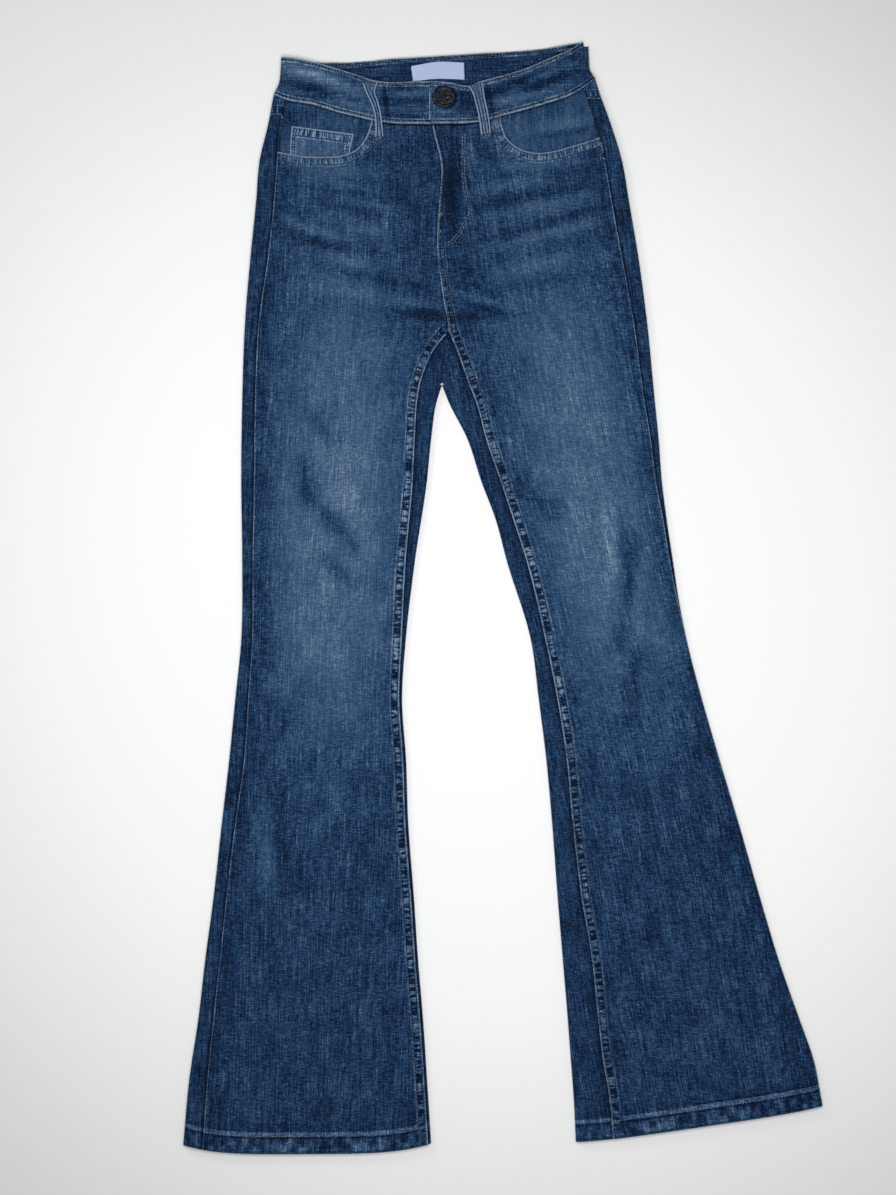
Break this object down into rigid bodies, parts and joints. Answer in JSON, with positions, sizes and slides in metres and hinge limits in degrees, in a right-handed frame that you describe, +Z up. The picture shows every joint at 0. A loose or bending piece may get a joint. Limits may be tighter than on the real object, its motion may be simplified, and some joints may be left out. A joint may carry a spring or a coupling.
{
  "type": "flared jeans laid flat",
  "caption": "High-waisted flared denim jeans laid flat with the front up: buttoned waistband, fly, scoop pockets, belt loops, back yoke and wide hems.",
  "frame": {"origin": "middle of the laid garment's outline, on the surface that it lies on", "axes": "+Y towards the waist, +X towards the viewer's right, +Z up, away from the surface"},
  "size_m": [0.64, 1.1118, 0.0128],
  "materials": {
    "denim_front": "washed mid-blue twill, faded on the thighs",
    "denim_back": "darker washed blue twill",
    "denim_band": "washed blue twill with worn edges",
    "pocket_cotton": "plain cotton",
    "label_cloth": "woven white, bare",
    "zip_tape": "navy tape",
    "antique_metal": "dark antique"
  },
  "bodies": {
    "root": {"front_panel_left": "denim_front", "front_panel_right": "denim_front", "pocket_facing_left": "denim_front", "pocket_facing_right": "denim_front", "coin_pocket": "denim_front", "back_panel_left": "denim_back", "back_panel_right": "denim_back", "back_yoke_left": "denim_back", "back_yoke_right": "denim_back", "back_pocket_left": "denim_back", "back_pocket_right": "denim_back", "fly_shield": "denim_back", "waistband_left": "denim_band", "waistband_right": "denim_band", "waistband_back": "denim_band", "belt_loop_front_left": "denim_band", "belt_loop_front_right": "denim_band", "belt_loop_side_left": "denim_band", "belt_loop_side_right": "denim_band", "belt_loop_back": "denim_band", "pocket_bag_left": "pocket_cotton", "pocket_bag_right": "pocket_cotton", "waist_label": "label_cloth", "zip": "zip_tape", "button": "antique_metal"}
  },
  "joints": []
}
